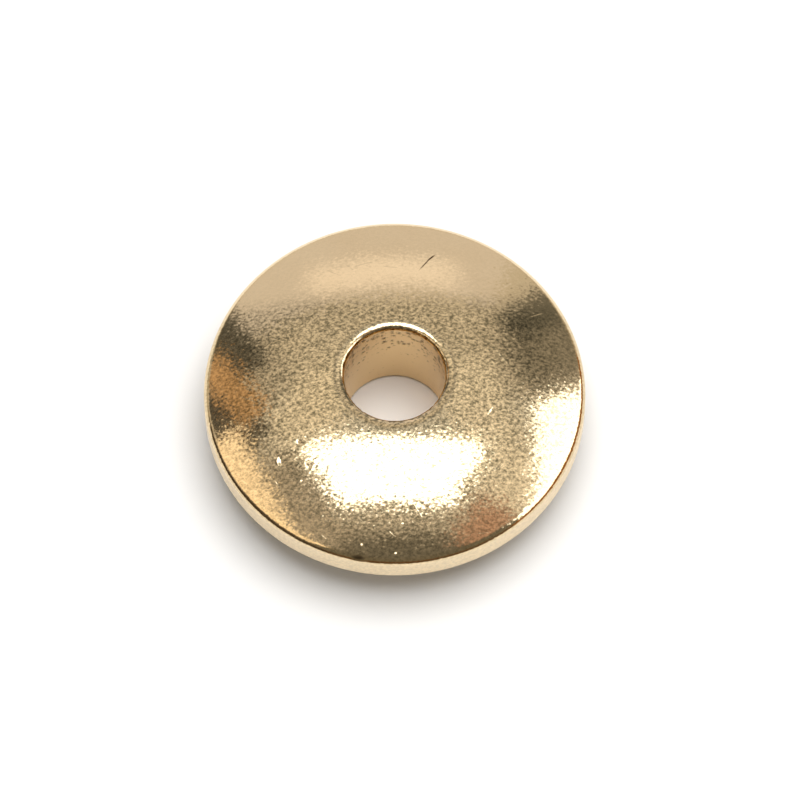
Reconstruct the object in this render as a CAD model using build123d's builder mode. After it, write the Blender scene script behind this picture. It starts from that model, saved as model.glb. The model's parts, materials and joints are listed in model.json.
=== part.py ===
"""Ball marker for golf: a turned, gold-plated brass disc with domed faces and a plain bore.

One solid of revolution about Z. Both faces are the same shallow dome, so either one can lie
on the green. Each dome rolls over softly and ends in a small round, at the bore and at the rim.
The disc lies flat, with its lower lip on Z = 0 and its bore axis on Z.
All sizes are in millimetres, all angles in degrees.
"""
import os
from math import cos, radians, sin

from build123d import *

# Driving dimensions
outer_diameter = 25.0   # over the rim
thickness = 7.2         # from the crest of one bore lip to the crest of the other
bore_diameter = 6.6     # clears a 6 mm screw, peg or cord
rim_land = 1.4          # height of the straight cylindrical band round the rim
dome_radius = 28.0      # radius of the shallow dome on each face
lip_roll = 1.2          # radius of the soft roll-over from the dome to the lip's round
lip_round = 0.3         # radius from that roll-over down to the bore wall
lip_slope = 22.0        # how steep the roll-over has become where the lip's round starts
rim_roll = 0.8          # radius of the soft roll-over from the dome to the rim's round
rim_round = 0.3         # radius from that roll-over down to the rim band
rim_slope = 58.0        # how steep the roll-over has become where the rim's round starts

# What follows from them
outer_radius = outer_diameter / 2
bore_radius = bore_diameter / 2
half_rim_land = rim_land / 2                 # straight band, mid-height to the rim's round
lip_offset = lip_roll - lip_round            # between the centres of the lip's two arcs
rim_offset = rim_roll - rim_round            # between the centres of the rim's two arcs
# The roll-over's crest is the highest point, so it sets where the straight bore wall ends.
half_bore_wall = thickness / 2 - lip_roll + lip_offset * cos(radians(lip_slope))

# The section is drawn on this plane: its x is the radius, its y the height above mid-height.
mid_height = Plane(origin=(0, 0, thickness / 2), x_dir=(1, 0, 0), z_dir=(0, -1, 0))

with BuildPart() as marker_disc:
    with BuildSketch(mid_height) as section:
        with BuildLine() as outline:
            lip_roll_circle = CenterArc(
                (bore_radius + lip_round + lip_offset * sin(radians(lip_slope)), thickness / 2 - lip_roll),
                lip_roll, 0, 360, mode=Mode.PRIVATE,
            )
            rim_roll_circle = CenterArc(
                (
                    outer_radius - rim_round - rim_offset * sin(radians(rim_slope)),
                    half_rim_land - rim_offset * cos(radians(rim_slope)),
                ),
                rim_roll, 0, 360, mode=Mode.PRIVATE,
            )
            dome = ConstrainedArcs(
                (lip_roll_circle, Tangency.ENCLOSING),
                (rim_roll_circle, Tangency.ENCLOSING),
                radius=dome_radius,
                selector=lambda arcs: arcs.sort_by(Axis.Y)[-1],
            ).edge()
            rim_end, lip_end = dome @ 0, dome @ 1
            bore_wall = Line((bore_radius, 0), (bore_radius, half_bore_wall))
            lip = JernArc(bore_wall @ 1, bore_wall % 1, lip_round, lip_slope - 90)
            TangentArc(lip @ 1, lip_end, tangent=lip % 1)
            rim_band = Line((outer_radius, 0), (outer_radius, half_rim_land))
            rim = JernArc(rim_band @ 1, rim_band % 1, rim_round, 90 - rim_slope)
            TangentArc(rim @ 1, rim_end, tangent=rim % 1)
            mirror(about=Plane.XZ)
        make_face()
    revolve(axis=Axis.Z)

marker_disc.part.label = "marker_disc"

os.makedirs("parts", exist_ok=True)
export_step(marker_disc.part, "parts/marker_disc.step")
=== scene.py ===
"""Ball marker: a barrel-tumbled, gold-plated brass disc on white paper in a small photo studio.

The disc is one solid of revolution. Its outline, the fine waviness that tumbling leaves and the
nicks and pits are made by one Geometry Nodes tree. Everything is in metres, +Z up.
"""
import json
import math

import bpy
from mathutils import Matrix, Vector


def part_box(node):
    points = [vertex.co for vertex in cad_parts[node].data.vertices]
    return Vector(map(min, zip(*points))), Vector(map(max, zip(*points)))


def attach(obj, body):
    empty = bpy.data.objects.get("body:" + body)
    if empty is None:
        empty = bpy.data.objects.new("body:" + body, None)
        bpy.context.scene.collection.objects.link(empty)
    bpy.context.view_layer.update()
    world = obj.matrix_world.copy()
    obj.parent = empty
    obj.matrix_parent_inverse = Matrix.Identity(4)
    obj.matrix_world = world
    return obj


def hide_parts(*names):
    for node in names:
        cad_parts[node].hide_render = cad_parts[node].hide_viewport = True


MM = 0.001

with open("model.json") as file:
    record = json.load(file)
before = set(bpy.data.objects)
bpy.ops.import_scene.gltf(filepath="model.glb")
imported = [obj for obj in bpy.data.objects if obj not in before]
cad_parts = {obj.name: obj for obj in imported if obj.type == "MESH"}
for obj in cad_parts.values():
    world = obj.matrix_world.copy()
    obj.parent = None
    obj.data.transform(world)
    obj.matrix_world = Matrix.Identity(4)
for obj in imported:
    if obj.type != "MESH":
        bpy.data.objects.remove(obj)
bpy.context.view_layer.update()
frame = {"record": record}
disc_low, disc_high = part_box("marker_disc")
bore = next(mount for mount in frame["record"]["mounts"] if mount["name"] == "bore")

# Sizes of the disc. The first three come from the frame, the rest are the turned section's own.
outer_radius = (disc_high.x - disc_low.x) / 2
thickness = disc_high.z - disc_low.z
bore_radius = bore["dims"]["r_mm"] * MM
half_rim_land = 1.4 * MM / 2
dome_radius = 28 * MM
lip_roll, lip_round, lip_slope = 1.2 * MM, 0.3 * MM, math.radians(22)
rim_roll, rim_round, rim_slope = 0.8 * MM, 0.3 * MM, math.radians(58)
half_bore_wall = thickness / 2 - lip_roll + (lip_roll - lip_round) * math.cos(lip_slope)
mid_height = disc_low.z + thickness / 2

# Sizes of the surface's texture. The grain is drawn about twice as coarse as tumbling leaves it, so
# that it shows.
dimple_spacing = 0.18 * MM
dull_spacing = 0.2 * MM
cloud_size = 3 * MM
hairline_spacing, hairline_lean = 1.9 * MM, 0.09
half_hairline_length, half_hairline_width = 0.75 * MM, 0.035 * MM
pit_spacing, pit_depth = 0.33 * MM, 0.04 * MM
pit_raggedness, pit_ragged_size = 0.35 * MM, 0.12 * MM
# Tumbling leaves the surface slightly wavy, at two sizes: wave length and depth.
waves = ((2.6 * MM, 0.007 * MM), (0.7 * MM, 0.0032 * MM))


def linear(hex_colour):
    """An sRGB hex colour as linear red, green, blue and alpha."""
    values = [int(hex_colour[i : i + 2], 16) / 255 for i in (1, 3, 5)]
    return [v / 12.92 if v <= 0.04045 else ((v + 0.055) / 1.055) ** 2.4 for v in values] + [1.0]


def add(tree, kind, inputs=(), **settings):
    """Adds a node to a tree. inputs maps sockets to values, or to the outputs that feed them."""
    node = tree.nodes.new(kind)
    for name, value in settings.items():
        setattr(node, name, value)
    for key, value in dict(inputs).items():
        feeds = value if isinstance(value, list) else [value]
        if isinstance(feeds[0], bpy.types.NodeSocket):
            for feed in feeds:
                tree.links.new(feed, node.inputs[key])
        else:
            node.inputs[key].default_value = value
    return node


def new_tree(name, kind, inputs, outputs):
    """A node tree with named sockets, and its input and output nodes."""
    tree = bpy.data.node_groups.new(name, kind)
    for socket, socket_type in inputs:
        tree.interface.new_socket(socket, in_out="INPUT", socket_type=socket_type)
    for socket, socket_type in outputs:
        tree.interface.new_socket(socket, in_out="OUTPUT", socket_type=socket_type)
    return tree, tree.nodes.new("NodeGroupInput"), tree.nodes.new("NodeGroupOutput")


# ---------------------------------------------------------------------------------------------
# Camera: a long lens, looking down at the disc from in front
# ---------------------------------------------------------------------------------------------

def make_camera():
    """A nearly flat perspective, with the disc a little left of the middle of the frame."""
    elevation = math.radians(63.7)
    distance = 0.5
    disc_share = 0.47625  # width of the disc as a share of the frame's width
    aim_right, aim_down = 0.35 * MM, 0.14 * MM
    view = Vector((0, math.cos(elevation), -math.sin(elevation)))
    up = Vector((0, math.sin(elevation), math.cos(elevation)))
    aim = (disc_low + disc_high) / 2 + Vector((aim_right, 0, 0)) - up * aim_down
    camera = bpy.data.objects.new("camera", bpy.data.cameras.new("camera"))
    camera.location = aim - view * distance
    camera.rotation_euler = view.to_track_quat("-Z", "Y").to_euler()
    camera.data.sensor_width = 36
    camera.data.lens = camera.data.sensor_width * disc_share * distance / (2 * outer_radius)
    camera.data.clip_start, camera.data.clip_end = 0.01, 10
    bpy.context.scene.collection.objects.link(camera)
    bpy.context.scene.camera = camera


# ---------------------------------------------------------------------------------------------
# The studio: what the metal mirrors, and what lights the paper
# ---------------------------------------------------------------------------------------------

def direction_to(bearing, elevation):
    """A unit vector to a compass bearing from +Y towards +X, and a height above the horizon."""
    turn, lift = math.radians(bearing), math.radians(elevation)
    return Vector((math.sin(turn) * math.cos(lift), math.cos(turn) * math.cos(lift), math.sin(lift)))


# Each panel is a soft-edged card or lamp far away, mirrored in the metal: the direction of its
# middle, half its width and height and its soft edge in degrees, colour and brightness. roll turns
# it about its middle, and taper widens it towards its top.
PANELS = [
    dict(name="dark_room_behind", at=(180, 32), size=(64, 39), edge=8, colour="#767063"),
    dict(name="brown_floor_front", at=(180, 9), size=(62, 14), edge=8, colour="#6A5238"),
    dict(name="dark_floor_left", at=(-112, 8), size=(38, 16), edge=8, colour="#4E4234"),
    dict(name="wood_floor_right", at=(88, 8), size=(36, 14), edge=6, colour="#A4713F"),
    dict(name="dim_room_left", at=(-112, 60), size=(15, 11), edge=8, colour="#B8AD9C"),
    dict(name="warm_wall", at=(-5, 50), size=(24, 9), edge=6, colour="#E0D5C2"),
    dict(name="grey_ceiling", at=(0, 74), size=(34, 9), edge=8, colour="#D8D3C8"),
    dict(name="pale_wall_right", at=(66, 63), size=(21, 9), edge=8, colour="#FFF4E0"),
    dict(name="pale_wall_left", at=(-48, 63), size=(14, 9), edge=8, colour="#FAEED8"),
    dict(name="back_sweep", at=(-8, 19), size=(29, 20), edge=3, colour="#D9D0C6"),
    dict(name="back_sweep_glow", at=(-3, 30), size=(15, 5), edge=8, colour="#FAEFE3"),
    dict(name="dark_gap_left", at=(-45, 27), size=(6, 15), edge=3, colour="#615E55", roll=-14),
    dict(name="dark_gap_right", at=(36, 28), size=(5.5, 11), edge=4, colour="#69665C"),
    dict(name="grey_gap_right", at=(47, 31), size=(7, 15), edge=5, colour="#938C7E"),
    dict(name="dark_strip_left", at=(-68, 41), size=(5, 13), edge=3, colour="#56524A", roll=-18),
    dict(name="wood_card_left", at=(-56, 38), size=(4, 13), edge=3, colour="#CEA679", roll=-20),
    dict(
        name="pale_card_left", at=(-107, 45), size=(25, 12), edge=2, colour="#FFE8C6",
        brightness=1.35, roll=8,
    ),
    dict(name="red_card_front", at=(123, 60), size=(8, 6), edge=5, colour="#C29C84"),
    dict(
        name="right_softbox", at=(88, 37), size=(24.5, 15), edge=2, colour="#FFFDF8",
        brightness=3.0, taper=-0.35,
    ),
    dict(
        name="overhead_softbox", at=(180, 88.5), size=(20, 8.9), edge=4, colour="#FFFEFA",
        brightness=5.2, taper=0.6,
    ),
]


def make_panel_group():
    """Tells how much of one far rectangle is seen in a direction: 1 inside, 0 outside."""
    tree, given, made = new_tree(
        "studio_panel",
        "ShaderNodeTree",
        [
            ("Direction", "NodeSocketVector"),
            ("Facing", "NodeSocketVector"),
            ("Right", "NodeSocketVector"),
            ("Up", "NodeSocketVector"),
            ("Half Width", "NodeSocketFloat"),
            ("Half Height", "NodeSocketFloat"),
            ("Taper", "NodeSocketFloat"),
            ("Edge", "NodeSocketFloat"),
        ],
        [("Seen", "NodeSocketFloat")],
    )
    ahead = add(
        tree, "ShaderNodeVectorMath", {0: given.outputs["Direction"], 1: given.outputs["Facing"]},
        operation="DOT_PRODUCT",
    ).outputs["Value"]
    in_front = add(tree, "ShaderNodeMath", {0: ahead, 1: 0.05}, operation="GREATER_THAN").outputs[0]
    depth = add(tree, "ShaderNodeMath", {0: ahead, 1: 0.05}, operation="MAXIMUM").outputs[0]
    soft = [
        add(tree, "ShaderNodeMath", {0: given.outputs["Edge"], 1: side}, operation="MULTIPLY").outputs[0]
        for side in (-0.5, 0.5)
    ]
    seen = in_front
    half_width = given.outputs["Half Width"]
    for axis in ("Up", "Right"):
        along = add(
            tree, "ShaderNodeVectorMath", {0: given.outputs["Direction"], 1: given.outputs[axis]},
            operation="DOT_PRODUCT",
        ).outputs["Value"]
        slope = add(tree, "ShaderNodeMath", {0: along, 1: depth}, operation="DIVIDE").outputs[0]
        off = add(tree, "ShaderNodeMath", {0: slope}, operation="ABSOLUTE").outputs[0]
        half = given.outputs["Half Height"] if axis == "Up" else half_width
        room = add(tree, "ShaderNodeMath", {0: half, 1: off}, operation="SUBTRACT").outputs[0]
        inside = add(
            tree,
            "ShaderNodeMapRange",
            {"Value": room, "From Min": soft[0], "From Max": soft[1], "To Min": 0.0, "To Max": 1.0},
            interpolation_type="SMOOTHSTEP",
        ).outputs["Result"]
        seen = add(tree, "ShaderNodeMath", {0: seen, 1: inside}, operation="MULTIPLY").outputs[0]
        if axis == "Up":
            half_width = add(
                tree, "ShaderNodeMath", {0: slope, 1: given.outputs["Taper"], 2: half_width},
                operation="MULTIPLY_ADD",
            ).outputs[0]
    tree.links.new(seen, made.inputs["Seen"])
    return tree


def make_studio():
    """A dim room with the panels hung in it, one over the other."""
    world = bpy.data.worlds.new("studio")
    bpy.context.scene.world = world
    world.use_nodes = True
    world.cycles_visibility.diffuse = False
    tree = world.node_tree
    tree.nodes.clear()
    direction = add(tree, "ShaderNodeTexCoord").outputs["Generated"]
    height = add(tree, "ShaderNodeSeparateXYZ", {0: direction}).outputs["Z"]
    # White paper runs to the horizon, and above it the room is dim and warm.
    paper_ends, room_starts = (math.sin(math.radians(degrees)) for degrees in (1, 6))
    above = add(
        tree,
        "ShaderNodeMapRange",
        {"Value": height, "From Min": paper_ends, "From Max": room_starts},
        interpolation_type="SMOOTHSTEP",
    ).outputs["Result"]
    room = add(
        tree,
        "ShaderNodeMix",
        {"Factor": above, 6: linear("#FFFFFF"), 7: linear("#C9BFAE")},
        data_type="RGBA",
    ).outputs[2]
    panel_group = make_panel_group()
    for panel in PANELS:
        facing = direction_to(*panel["at"])
        level = direction_to(panel["at"][0] + 90, 0)
        tilt = Matrix.Rotation(math.radians(panel.get("roll", 0)), 3, facing)
        half_width, half_height = (math.tan(math.radians(half)) for half in panel["size"])
        mask = add(
            tree,
            "ShaderNodeGroup",
            {0: direction},
            node_tree=panel_group,
            label=panel["name"],
        )
        for socket, value in (
            ("Facing", facing),
            ("Right", tilt @ level),
            ("Up", tilt @ level.cross(facing)),
            ("Half Width", half_width),
            ("Half Height", half_height),
            ("Taper", panel.get("taper", 0)),
            ("Edge", math.radians(panel["edge"])),
        ):
            mask.inputs[socket].default_value = value
        brightness = panel.get("brightness", 1)
        shade = [channel * brightness for channel in linear(panel["colour"])[:3]] + [1.0]
        room = add(
            tree,
            "ShaderNodeMix",
            {"Factor": mask.outputs["Seen"], 6: room, 7: shade},
            data_type="RGBA",
        ).outputs[2]
    # Only the metal sees the room: past the edge of the paper it is plain white to look at.
    looked_at = add(tree, "ShaderNodeLightPath").outputs["Is Camera Ray"]
    shown = add(
        tree,
        "ShaderNodeMix",
        {"Factor": looked_at, 6: room, 7: linear("#FFFFFF")},
        data_type="RGBA",
    ).outputs[2]
    background = add(tree, "ShaderNodeBackground", {"Color": shown, "Strength": 1.0})
    add(tree, "ShaderNodeOutputWorld", {"Surface": background.outputs[0]})


# Each lamp is a broad source far away, which lights the paper but isn't mirrored in the metal.
LAMPS = [
    dict(name="key_light", at=(34, 78), width=56, strength=2.9),
    dict(name="fill_light", at=(0, 90), width=160, strength=0.98),
]


def make_lamps():
    """The lamps that light the paper."""
    for lamp in LAMPS:
        sun = bpy.data.lights.new(lamp["name"], "SUN")
        sun.angle = math.radians(lamp["width"])
        sun.energy = lamp["strength"]
        holder = bpy.data.objects.new(lamp["name"], sun)
        holder.rotation_euler = direction_to(*lamp["at"]).to_track_quat("Z", "Y").to_euler()
        holder.visible_glossy = False
        bpy.context.scene.collection.objects.link(holder)


def make_floor():
    """White paper. Seen from below it is clear, so that the underside of the disc can be looked at."""
    side = 4.0
    mesh = bpy.data.meshes.new("paper")
    corners = [(-side, -side), (side, -side), (side, side), (-side, side)]
    mesh.from_pydata([(x, y, disc_low.z) for x, y in corners], [], [(0, 1, 2, 3)])
    floor = bpy.data.objects.new("paper", mesh)
    bpy.context.scene.collection.objects.link(floor)
    material = bpy.data.materials.new("matt_white_paper")
    material.use_nodes = True
    tree = material.node_tree
    tree.nodes.clear()
    paper = add(tree, "ShaderNodeBsdfDiffuse", {"Color": linear("#F4F3F1")})
    clear = add(tree, "ShaderNodeBsdfTransparent")
    from_below = add(tree, "ShaderNodeNewGeometry").outputs["Backfacing"]
    surface = add(
        tree, "ShaderNodeMixShader", {0: from_below, 1: paper.outputs[0], 2: clear.outputs[0]}
    )
    add(tree, "ShaderNodeOutputMaterial", {"Surface": surface.outputs[0]})
    mesh.materials.append(material)


# ---------------------------------------------------------------------------------------------
# The gold plating
# ---------------------------------------------------------------------------------------------

# Single marks on the upper face, in millimetres: their middle, the way they run in degrees from +X,
# and half their length and width. The fine ones are in the material: lean turns the surface aside to
# catch or miss a lamp, and the last number darkens it: some scratches are dark, and nick_shade and
# gouge_shade are painted shade in the nick and the rim gouge. The nicks are sunk into the mesh by
# their depth.
SCRATCHES = [
    dict(name="old_scratch", at=(2.02, 8.66), run=56, size=(0.95, 0.07), lean=0.0, shade_and_dirt=0.9),
    dict(name="old_scratch_fork", at=(2.42, 9.2), run=48, size=(0.5, 0.09), lean=0.0, shade_and_dirt=1.0),
    dict(name="fresh_scratch", at=(7.0, 1.52), run=-52, size=(0.95, 0.055), lean=-0.3, shade_and_dirt=0.0),
    dict(name="short_scratch", at=(-4.38, -6.59), run=84, size=(0.5, 0.1), lean=0.0, shade_and_dirt=0.8),
    dict(name="low_streak", at=(2.41, -8.29), run=12, size=(0.8, 0.08), lean=0.1, shade_and_dirt=0.0),
    dict(name="right_streak", at=(6.23, -2.46), run=60, size=(0.5, 0.08), lean=-0.35, shade_and_dirt=0.0),
    dict(name="far_right_streak", at=(6.74, -6.18), run=40, size=(0.5, 0.08), lean=0.3, shade_and_dirt=0.0),
    dict(name="nick_glint", at=(-7.5, -5.75), run=100, size=(0.42, 0.17), lean=-0.3, shade_and_dirt=0.0),
    dict(name="nick_shade", at=(-7.72, -5.75), run=100, size=(0.4, 0.1), lean=0.0, shade_and_dirt=0.6),
    dict(name="ring_glint", at=(-6.15, -4.6), run=0, size=(0.2, 0.13), lean=-0.2, shade_and_dirt=0.0),
    dict(name="gouge_shade", at=(-2.35, -12.05), run=-10, size=(0.6, 0.16), lean=0.0, shade_and_dirt=0.8),
    dict(name="gouge_glint", at=(-2.15, -11.3), run=0, size=(0.14, 0.12), lean=0.11, shade_and_dirt=0.0),
    dict(name="front_glint", at=(0.07, -11.85), run=0, size=(0.16, 0.1), lean=0.16, shade_and_dirt=0.0),
    dict(name="low_glint", at=(0.52, -10.07), run=0, size=(0.12, 0.08), lean=0.12, shade_and_dirt=0.0),
]
NICKS = [
    dict(name="oblong_nick", at=(-7.55, -5.75), run=100, size=(0.42, 0.26), depth=0.02),
    dict(name="round_nick", at=(-6.2, -4.65), run=0, size=(0.3, 0.28), depth=0.016),
    dict(name="small_nick", at=(-5.56, -6.3), run=40, size=(0.26, 0.2), depth=0.012),
    dict(name="front_nick", at=(-1.24, -10.06), run=20, size=(0.28, 0.2), depth=0.012),
    dict(name="rim_gouge", at=(-2.35, -12.05), run=-10, size=(0.55, 0.2), depth=0.05),
]


def mark_shape(tree, place, mark):
    """How deep a point lies in a spindle-shaped mark on the upper face, from 0 at its edge to 1."""
    run = math.radians(mark["run"])
    centre = Vector((*mark["at"], 0)) * MM
    ways = (Vector((math.cos(run), math.sin(run), 0)), Vector((-math.sin(run), math.cos(run), 0)))
    from_centre = add(
        tree, "ShaderNodeVectorMath", {0: place, 1: centre}, operation="SUBTRACT"
    ).outputs[0]
    along, across = (
        add(
            tree, "ShaderNodeVectorMath", {0: from_centre, 1: way / (half * MM)}, operation="DOT_PRODUCT"
        ).outputs["Value"]
        for way, half in zip(ways, mark["size"])
    )
    from_middle = add(
        tree,
        "ShaderNodeVectorMath",
        {0: add(tree, "ShaderNodeCombineXYZ", {"X": along, "Y": across}).outputs[0]},
        operation="LENGTH",
    ).outputs["Value"]
    inside = add(
        tree,
        "ShaderNodeMapRange",
        {"Value": from_middle, "From Min": 1.0, "From Max": 0.2},
        interpolation_type="SMOOTHSTEP",
    ).outputs["Result"]
    height = add(tree, "ShaderNodeSeparateXYZ", {0: place}).outputs["Z"]
    on_top = add(
        tree, "ShaderNodeMath", {0: height, 1: mid_height}, operation="GREATER_THAN"
    ).outputs[0]
    return add(tree, "ShaderNodeMath", {0: inside, 1: on_top}, operation="MULTIPLY").outputs[0]


def radius_at(tree, place):
    """Distance from the axis."""
    flat = add(
        tree, "ShaderNodeVectorMath", {0: place, 1: (1, 1, 0)}, operation="MULTIPLY"
    ).outputs[0]
    return add(tree, "ShaderNodeVectorMath", {0: flat}, operation="LENGTH").outputs["Value"]


def in_bore(tree, place):
    """1 on the bore wall, 0 from the lip outwards."""
    return add(
        tree,
        "ShaderNodeMapRange",
        {
            "Value": radius_at(tree, place),
            "From Min": bore_radius + 0.15 * MM,
            "From Max": bore_radius + 0.03 * MM,
        },
        interpolation_type="SMOOTHSTEP",
    ).outputs["Result"]


def bore_pits(tree, place):
    """Ragged pits where the drill tore the brass, 0.3 mm apart, the larger ones near the top."""
    wander = add(
        tree, "ShaderNodeTexNoise", {"Vector": place, "Scale": 1 / pit_ragged_size, "Detail": 2.0}
    ).outputs["Color"]
    wander = add(
        tree,
        "ShaderNodeVectorMath",
        {
            0: add(
                tree, "ShaderNodeVectorMath", {0: wander, 1: (0.5, 0.5, 0.5)}, operation="SUBTRACT"
            ).outputs[0],
            "Scale": pit_raggedness,
        },
        operation="SCALE",
    ).outputs[0]
    ragged = add(tree, "ShaderNodeVectorMath", {0: place, 1: wander}, operation="ADD").outputs[0]
    cells = add(
        tree,
        "ShaderNodeTexVoronoi",
        {"Vector": ragged, "Scale": 1 / pit_spacing, "Randomness": 1.0},
    ).outputs
    chance = add(tree, "ShaderNodeSeparateXYZ", {0: cells["Color"]}).outputs
    height = add(tree, "ShaderNodeSeparateXYZ", {0: place}).outputs["Z"]
    spread = add(
        tree,
        "ShaderNodeMapRange",
        {
            "Value": height,
            "From Min": disc_low.z + 0.35 * thickness,
            "From Max": disc_low.z + 0.9 * thickness,
            "To Min": 0.2,
            "To Max": 1.1,
        },
    ).outputs["Result"]
    size = add(
        tree, "ShaderNodeMath", {0: chance["X"], 1: spread}, operation="MULTIPLY"
    ).outputs[0]
    depth = add(
        tree,
        "ShaderNodeMapRange",
        {"Value": cells["Distance"], "From Min": size, "From Max": 0.0},
        interpolation_type="SMOOTHSTEP",
    ).outputs["Result"]
    return add(
        tree, "ShaderNodeMath", {0: depth, 1: in_bore(tree, place)}, operation="MULTIPLY"
    ).outputs[0]


def make_gold():
    """Pale gold plating over brass, barrel tumbled in fine media.

    The media leaves a dense grain of shallow dimples, too fine to feel. They lean the surface by a
    degree or two, which frays the edges of the reflections, and their bottoms are duller than their
    crests, which speckles the metal olive and cream. The olive speckle is in part painted reflection:
    the darker colour stands in for the dark flecks that the grain mirrors. The rim band and the bore
    wall are only turned and drilled, so they are satin. The plating is thin in the bore and worn on
    the edges, where it looks more like brass. Painted shade darkens the nick and the rim gouge.
    """
    material = bpy.data.materials.new("gold_plated_brass_barrel_tumbled")
    material.use_nodes = True
    tree = material.node_tree
    tree.nodes.clear()
    coordinates = add(tree, "ShaderNodeTexCoord").outputs
    place = coordinates["Object"]
    normal = add(tree, "ShaderNodeNewGeometry").outputs["Normal"]
    radius = radius_at(tree, place)
    bore_wall = in_bore(tree, place)
    pits = bore_pits(tree, place)

    # 1 on the upright surfaces, the rim band and the bore wall.
    upright = add(
        tree,
        "ShaderNodeMapRange",
        {
            "Value": add(
                tree,
                "ShaderNodeMath",
                {0: add(tree, "ShaderNodeSeparateXYZ", {0: coordinates["Normal"]}).outputs["Z"]},
                operation="ABSOLUTE",
            ).outputs[0],
            "From Min": 0.45,
            "From Max": 0.15,
        },
        interpolation_type="SMOOTHSTEP",
    ).outputs["Result"]

    # The grain: dimples a little longer than they are wide, all lying the same way.
    turned = add(
        tree,
        "ShaderNodeMapping",
        {"Vector": place, "Rotation": (0, 0, math.radians(-50)), "Scale": (0.8, 1.1, 1.0)},
    ).outputs[0]
    dimples = add(
        tree,
        "ShaderNodeTexNoise",
        {"Vector": turned, "Scale": 1 / dimple_spacing, "Detail": 1.5, "Roughness": 0.6},
    ).outputs["Color"]
    tilt = add(
        tree, "ShaderNodeVectorMath", {0: dimples, 1: (0.5, 0.5, 0.5)}, operation="SUBTRACT"
    ).outputs[0]
    steepness = add(tree, "ShaderNodeVectorMath", {0: tilt}, operation="LENGTH").outputs["Value"]
    push = add(
        tree,
        "ShaderNodeMath",
        {
            0: add(tree, "ShaderNodeMath", {0: steepness, 1: 2.0}, operation="POWER").outputs[0],
            1: 0.7,
            2: 0.11,
        },
        operation="MULTIPLY_ADD",
    ).outputs[0]
    # The lip is rubbed smoother than the rest.
    rubbed = add(
        tree,
        "ShaderNodeMapRange",
        {"Value": radius, "From Min": 3.6 * MM, "From Max": 4.5 * MM, "To Min": 0.4},
        interpolation_type="SMOOTHSTEP",
    ).outputs["Result"]
    push = add(tree, "ShaderNodeMath", {0: push, 1: rubbed}, operation="MULTIPLY").outputs[0]
    leaning = add(tree, "ShaderNodeVectorMath", {0: tilt, "Scale": push}, operation="SCALE").outputs[0]
    leaning = add(tree, "ShaderNodeVectorMath", {0: normal, 1: leaning}, operation="ADD").outputs[0]

    # Fine hairlines from handling, one to a cell and about one cell in three, each in its own
    # direction along the surface.
    cells = add(
        tree, "ShaderNodeTexVoronoi", {"Vector": place, "Scale": 1 / hairline_spacing, "Randomness": 1.0}
    ).outputs
    heading = add(
        tree, "ShaderNodeVectorMath", {0: cells["Color"], 1: (0.5, 0.5, 0.5)}, operation="SUBTRACT"
    ).outputs[0]
    across = add(
        tree,
        "ShaderNodeVectorMath",
        {
            0: add(
                tree, "ShaderNodeVectorMath", {0: normal, 1: heading}, operation="CROSS_PRODUCT"
            ).outputs[0]
        },
        operation="NORMALIZE",
    ).outputs[0]
    along = add(
        tree, "ShaderNodeVectorMath", {0: normal, 1: across}, operation="CROSS_PRODUCT"
    ).outputs[0]
    offset = add(
        tree, "ShaderNodeVectorMath", {0: place, 1: cells["Position"]}, operation="SUBTRACT"
    ).outputs[0]
    hairline = add(
        tree,
        "ShaderNodeMath",
        {0: add(tree, "ShaderNodeSeparateXYZ", {0: cells["Color"]}).outputs["X"], 1: 0.66},
        operation="GREATER_THAN",
    ).outputs[0]
    for way, half in ((along, half_hairline_length), (across, half_hairline_width)):
        off = add(
            tree,
            "ShaderNodeMath",
            {
                0: add(
                    tree, "ShaderNodeVectorMath", {0: offset, 1: way}, operation="DOT_PRODUCT"
                ).outputs["Value"]
            },
            operation="ABSOLUTE",
        ).outputs[0]
        near = add(
            tree,
            "ShaderNodeMapRange",
            {"Value": off, "From Min": half, "From Max": half * 0.3},
            interpolation_type="SMOOTHSTEP",
        ).outputs["Result"]
        hairline = add(tree, "ShaderNodeMath", {0: hairline, 1: near}, operation="MULTIPLY").outputs[0]
    lean = add(
        tree, "ShaderNodeMath", {0: hairline, 1: hairline_lean}, operation="MULTIPLY"
    ).outputs[0]
    leaning = add(
        tree,
        "ShaderNodeVectorMath",
        {
            0: leaning,
            1: add(tree, "ShaderNodeVectorMath", {0: across, "Scale": lean}, operation="SCALE").outputs[0],
        },
        operation="ADD",
    ).outputs[0]

    # The single scratches; their darkening also paints shade into the nick and the rim gouge.
    shade_and_dirt = pits
    for scratch in SCRATCHES:
        inside = mark_shape(tree, place, scratch)
        run = math.radians(scratch["run"])
        lean = add(
            tree, "ShaderNodeMath", {0: inside, 1: scratch["lean"]}, operation="MULTIPLY"
        ).outputs[0]
        wall = add(
            tree,
            "ShaderNodeVectorMath",
            {0: (-math.sin(run), math.cos(run), 0.0), "Scale": lean},
            operation="SCALE",
        ).outputs[0]
        leaning = add(tree, "ShaderNodeVectorMath", {0: leaning, 1: wall}, operation="ADD").outputs[0]
        shade_and_dirt = add(
            tree, "ShaderNodeMath", {0: inside, 1: scratch["shade_and_dirt"], 2: shade_and_dirt}, operation="MULTIPLY_ADD"
        ).outputs[0]
    bumpy = add(tree, "ShaderNodeVectorMath", {0: leaning}, operation="NORMALIZE").outputs[0]
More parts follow.
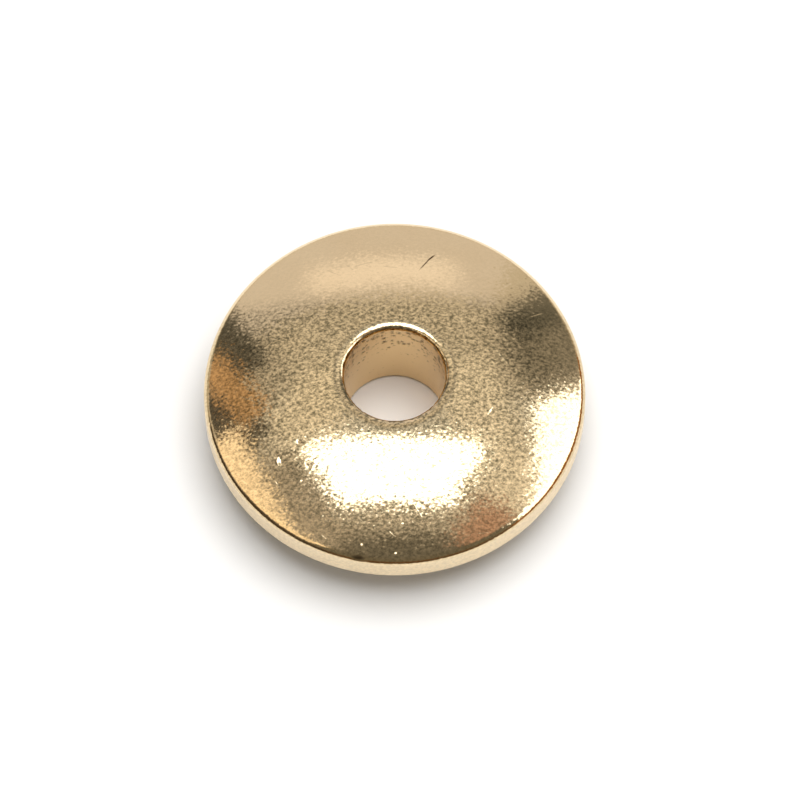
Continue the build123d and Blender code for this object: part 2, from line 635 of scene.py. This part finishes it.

    # The bottoms of the dimples are dull and their crests bright; this dark speckle is in part painted
    # # reflection, standing in for the dark flecks that the grain mirrors. It is painted weakest on the far
    # # side, where the mirrored back sweep is even, less near the rim, and a little on the rim band and in
    # # the bore.
    across_disc = add(tree, "ShaderNodeSeparateXYZ", {0: place}).outputs["Y"]
    speckle_strength = add(
        tree,
        "ShaderNodeMapRange",
        {"Value": across_disc, "From Min": 6.8 * MM, "From Max": 4.4 * MM, "To Min": 0.1, "To Max": 1.1},
        interpolation_type="SMOOTHSTEP",
    ).outputs["Result"]
    rimward = add(
        tree,
        "ShaderNodeMapRange",
        {"Value": radius, "From Min": 9 * MM, "From Max": 12 * MM, "To Min": 1.0, "To Max": 0.6},
    ).outputs["Result"]
    speckle_strength = add(tree, "ShaderNodeMath", {0: speckle_strength, 1: rimward}, operation="MULTIPLY").outputs[0]
    speckle_strength = add(
        tree, "ShaderNodeMix", {"Factor": upright, 2: speckle_strength, 3: 0.26}, data_type="FLOAT"
    ).outputs[0]
    bottoms = add(
        tree,
        "ShaderNodeTexNoise",
        {"Vector": turned, "Scale": 1 / dull_spacing, "Detail": 3.0, "Roughness": 0.75},
    ).outputs[0]
    dull_and_painted_speckle = add(
        tree,
        "ShaderNodeMapRange",
        {"Value": bottoms, "From Min": 0.37, "From Max": 0.66},
    ).outputs["Result"]
    dull_and_painted_speckle = add(tree, "ShaderNodeMath", {0: dull_and_painted_speckle, 1: speckle_strength}, operation="MULTIPLY").outputs[0]

    # Colour: pale gold, a little uneven; brassier in the bore and on the worn edges; dark in pits and dark
    # # scratches; painted shade in the nick and the rim gouge.
    clouds = add(
        tree, "ShaderNodeTexNoise", {"Vector": place, "Scale": 1 / cloud_size, "Detail": 2.0}
    ).outputs[0]
    colour = add(
        tree,
        "ShaderNodeMix",
        {"Factor": clouds, 6: linear("#FBE7C4"), 7: linear("#F3DDB8")},
        data_type="RGBA",
    ).outputs[2]
    # Dull dimple bottoms and painted reflection speckle turn the colour dark olive.
    colour = add(
        tree, "ShaderNodeMix", {"Factor": dull_and_painted_speckle, 6: colour, 7: linear("#7A725B")}, data_type="RGBA"
    ).outputs[2]
    edge = add(
        tree,
        "ShaderNodeMapRange",
        {"Value": radius, "From Min": outer_radius - 0.5 * MM, "From Max": outer_radius - 0.1 * MM},
        interpolation_type="SMOOTHSTEP",
    ).outputs["Result"]
    edge = add(
        tree,
        "ShaderNodeMath",
        {0: edge, 1: add(tree, "ShaderNodeMath", {0: 1.0, 1: upright}, operation="SUBTRACT").outputs[0]},
        operation="MULTIPLY",
    ).outputs[0]
    worn = add(
        tree,
        "ShaderNodeMath",
        {0: add(tree, "ShaderNodeMath", {0: edge, 1: 0.5}, operation="MULTIPLY").outputs[0], 1: bore_wall},
        operation="MAXIMUM",
    ).outputs[0]
    colour = add(
        tree, "ShaderNodeMix", {"Factor": worn, 6: colour, 7: linear("#E7CB9B")}, data_type="RGBA"
    ).outputs[2]
    # Dark brown in the bore pits and dark scratches, and painted shade in the nick and the rim gouge.
    colour = add(
        tree, "ShaderNodeMix", {"Factor": shade_and_dirt, 6: colour, 7: linear("#4A331A")}, data_type="RGBA"
    ).outputs[2]
    roughness = add(
        tree, "ShaderNodeMapRange", {"Value": upright, "To Min": 0.11, "To Max": 0.36}
    ).outputs["Result"]
    gold = add(
        tree,
        "ShaderNodeBsdfPrincipled",
        {"Base Color": colour, "Metallic": 1.0, "Roughness": roughness, "Normal": bumpy},
    )
    add(tree, "ShaderNodeOutputMaterial", {"Surface": gold.outputs[0]})
    return material


# ---------------------------------------------------------------------------------------------
# The disc
# ---------------------------------------------------------------------------------------------

def outline_arcs():
    """The upper half of the section: each arc's name, radius, start and end bearing, and centre.

    From the bore outwards: a small round, a soft roll-over, the dome, a roll-over and a round.
    Each arc is tangent to the next, and its bearings are counted from the section's x axis.
    """
    lip_lean, rim_lean = math.pi / 2 + lip_slope, math.pi / 2 - rim_slope
    lip = Vector((bore_radius + lip_round, half_bore_wall))
    rim = Vector((outer_radius - rim_round, half_rim_land))
    lip_over = lip - (lip_roll - lip_round) * Vector((math.cos(lip_lean), math.sin(lip_lean)))
    rim_over = rim - (rim_roll - rim_round) * Vector((math.cos(rim_lean), math.sin(rim_lean)))
    # The dome encloses both roll-over circles, so its centre is a known distance from theirs.
    to_lip, to_rim = dome_radius - lip_roll, dome_radius - rim_roll
    apart = rim_over - lip_over
    along = (to_lip**2 - to_rim**2 + apart.length_squared) / (2 * apart.length)
    across = math.sqrt(to_lip**2 - along**2)
    axis = apart.normalized()
    dome = lip_over + axis * along + Vector((axis.y, -axis.x)) * across
    dome_in = math.atan2(lip_over.y - dome.y, lip_over.x - dome.x)
    dome_out = math.atan2(rim_over.y - dome.y, rim_over.x - dome.x)
    return [
        ("Lip Round", lip_round, lip_lean, math.pi, lip),
        ("Lip Roll", lip_roll, dome_in, lip_lean, lip_over),
        ("Dome", dome_radius, dome_out, dome_in, dome),
        ("Rim Roll", rim_roll, rim_lean, dome_out, rim_over),
        ("Rim Round", rim_round, 0.0, rim_lean, rim),
    ]


def make_disc_tree(gold):
    """Turns the section of the disc about Z and roughens it as tumbling does."""
    arcs = [name for name, *_ in outline_arcs()]
    inputs = [(f"{name} {size}", "NodeSocketFloat") for name in arcs for size in ("Radius", "Start", "End")]
    inputs += [(f"{name} Centre", "NodeSocketVector") for name in arcs]
    inputs += [(f"{name} Points", "NodeSocketInt") for name in arcs + ["Wall", "Land"]]
    inputs += [
        (name, "NodeSocketFloat")
        for name in ("Half Bore Wall", "Half Rim Land", "Bore Radius", "Outer Radius", "Mid Height")
    ]
    inputs += [("Turns", "NodeSocketInt")]
    outputs = [("Geometry", "NodeSocketGeometry")]
    tree, given, made = new_tree("turned_disc", "GeometryNodeTree", inputs, outputs)
    given = given.outputs

    def arc(name):
        """One arc of the outline, about its own centre."""
        start, end = given[f"{name} Start"], given[f"{name} End"]
        sweep = add(tree, "ShaderNodeMath", {0: end, 1: start}, operation="SUBTRACT").outputs[0]
        curve = add(
            tree,
            "GeometryNodeCurveArc",
            {
                "Resolution": given[f"{name} Points"],
                "Radius": given[f"{name} Radius"],
                "Start Angle": start,
                "Sweep Angle": sweep,
            },
            mode="RADIUS",
        ).outputs["Curve"]
        return add(
            tree, "GeometryNodeTransform", {"Geometry": curve, "Translation": given[f"{name} Centre"]}
        ).outputs[0]

    def upright(points, radius, half_height):
        """A straight, upright line of the outline, centred on mid-height."""
        ends = [
            add(
                tree,
                "ShaderNodeCombineXYZ",
                {
                    "X": given[radius],
                    "Y": add(
                        tree, "ShaderNodeMath", {0: given[half_height], 1: side}, operation="MULTIPLY"
                    ).outputs[0],
                },
            ).outputs[0]
            for side in (-1.0, 1.0)
        ]
        line = add(tree, "GeometryNodeCurvePrimitiveLine", {"Start": ends[0], "End": ends[1]}).outputs[0]
        return add(
            tree, "GeometryNodeResampleCurve", {"Curve": line, "Count": given[points]}, mode="COUNT"
        ).outputs[0]

    upper = add(tree, "GeometryNodeJoinGeometry", {0: [arc(name) for name in arcs]}).outputs[0]
    lower = add(tree, "GeometryNodeTransform", {"Geometry": upper, "Scale": (1, -1, 1)}).outputs[0]
    outline = add(
        tree,
        "GeometryNodeJoinGeometry",
        {
            0: [
                upper,
                lower,
                upright("Wall Points", "Bore Radius", "Half Bore Wall"),
                upright("Land Points", "Outer Radius", "Half Rim Land"),
            ]
        },
    ).outputs[0]
    wire = add(tree, "GeometryNodeCurveToMesh", {"Curve": outline}).outputs[0]
    closed = add(tree, "GeometryNodeMergeByDistance", {"Geometry": wire, "Distance": 1e-6}).outputs[0]
    section = add(tree, "GeometryNodeMeshToCurve", {"Mesh": closed}).outputs[0]
    # The path is the bore's circle, so the section is drawn from the bore's radius outwards.
    minus_bore = add(
        tree, "ShaderNodeMath", {0: given["Bore Radius"], 1: -1.0}, operation="MULTIPLY"
    ).outputs[0]
    to_path = add(tree, "ShaderNodeCombineXYZ", {"X": minus_bore}).outputs[0]
    section = add(tree, "GeometryNodeTransform", {"Geometry": section, "Translation": to_path}).outputs[0]
    path = add(
        tree,
        "GeometryNodeCurvePrimitiveCircle",
        {"Resolution": given["Turns"], "Radius": given["Bore Radius"]},
        mode="RADIUS",
    ).outputs["Curve"]
    turned = add(tree, "GeometryNodeCurveToMesh", {"Curve": path, "Profile Curve": section}).outputs[0]
    lifted = add(
        tree,
        "GeometryNodeTransform",
        {
            "Geometry": turned,
            "Translation": add(tree, "ShaderNodeCombineXYZ", {"Z": given["Mid Height"]}).outputs[0],
        },
    ).outputs[0]
    # The waves, nicks and pits sink the surface along its normal.
    place = add(tree, "GeometryNodeInputPosition").outputs[0]
    sunk = None
    for wave, depth in waves:
        height = add(
            tree, "ShaderNodeTexNoise", {"Vector": place, "Scale": 1 / wave, "Detail": 0.0}
        ).outputs[0]
        sunk = add(
            tree, "ShaderNodeMath", {0: height, 1: depth, 2: sunk or 0.0}, operation="MULTIPLY_ADD"
        ).outputs[0]
    for nick in NICKS:
        inside = mark_shape(tree, place, nick)
        sunk = add(
            tree, "ShaderNodeMath", {0: inside, 1: nick["depth"] * MM, 2: sunk}, operation="MULTIPLY_ADD"
        ).outputs[0]
    sunk = add(
        tree, "ShaderNodeMath", {0: bore_pits(tree, place), 1: pit_depth, 2: sunk}, operation="MULTIPLY_ADD"
    ).outputs[0]
    inward = add(
        tree,
        "ShaderNodeVectorMath",
        {
            0: add(tree, "GeometryNodeInputNormal").outputs[0],
            "Scale": add(tree, "ShaderNodeMath", {0: sunk, 1: -1.0}, operation="MULTIPLY").outputs[0],
        },
        operation="SCALE",
    ).outputs[0]
    tumbled = add(tree, "GeometryNodeSetPosition", {"Geometry": lifted, "Offset": inward}).outputs[0]
    smooth = add(tree, "GeometryNodeSetShadeSmooth", {"Geometry": tumbled}).outputs[0]
    whole = add(tree, "GeometryNodeRealizeInstances", {"Geometry": smooth}).outputs[0]
    finished = add(tree, "GeometryNodeSetMaterial", {"Geometry": whole, "Material": gold}).outputs[0]
    tree.links.new(finished, made.inputs["Geometry"])
    return tree


def make_disc(gold):
    """The finished disc, which stands in for the plain one from CAD."""
    sizes = {
        "Half Bore Wall": half_bore_wall,
        "Half Rim Land": half_rim_land,
        "Bore Radius": bore_radius,
        "Outer Radius": outer_radius,
        "Mid Height": mid_height,
        "Wall Points": 64,
        "Land Points": 8,
        "Turns": 420,
    }
    points = {"Lip Round": 7, "Lip Roll": 8, "Dome": 56, "Rim Roll": 8, "Rim Round": 6}
    for name, radius, start, end, centre in outline_arcs():
        sizes[f"{name} Radius"] = radius
        sizes[f"{name} Start"] = start
        sizes[f"{name} End"] = end
        sizes[f"{name} Centre"] = (centre.x, centre.y, 0)
        sizes[f"{name} Points"] = points[name]
    tree = make_disc_tree(gold)
    holder = bpy.data.objects.new("disc_maker", bpy.data.meshes.new("disc_maker"))
    bpy.context.scene.collection.objects.link(holder)
    maker = holder.modifiers.new("turned_disc", "NODES")
    maker.node_group = tree
    for socket in tree.interface.items_tree:
        if socket.in_out == "INPUT":
            maker[socket.identifier] = sizes[socket.name]
    holder.update_tag()
    depsgraph = bpy.context.evaluated_depsgraph_get()
    mesh = bpy.data.meshes.new_from_object(holder.evaluated_get(depsgraph))
    mesh.name = "marker_disc_tumbled"
    bpy.data.objects.remove(holder)
    disc = bpy.data.objects.new("marker_disc_tumbled", mesh)
    bpy.context.scene.collection.objects.link(disc)
    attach(disc, "root")
    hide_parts("marker_disc")


bpy.context.scene.view_settings.view_transform = "Standard"
make_camera()
make_studio()
make_lamps()
make_floor()
make_disc(make_gold())
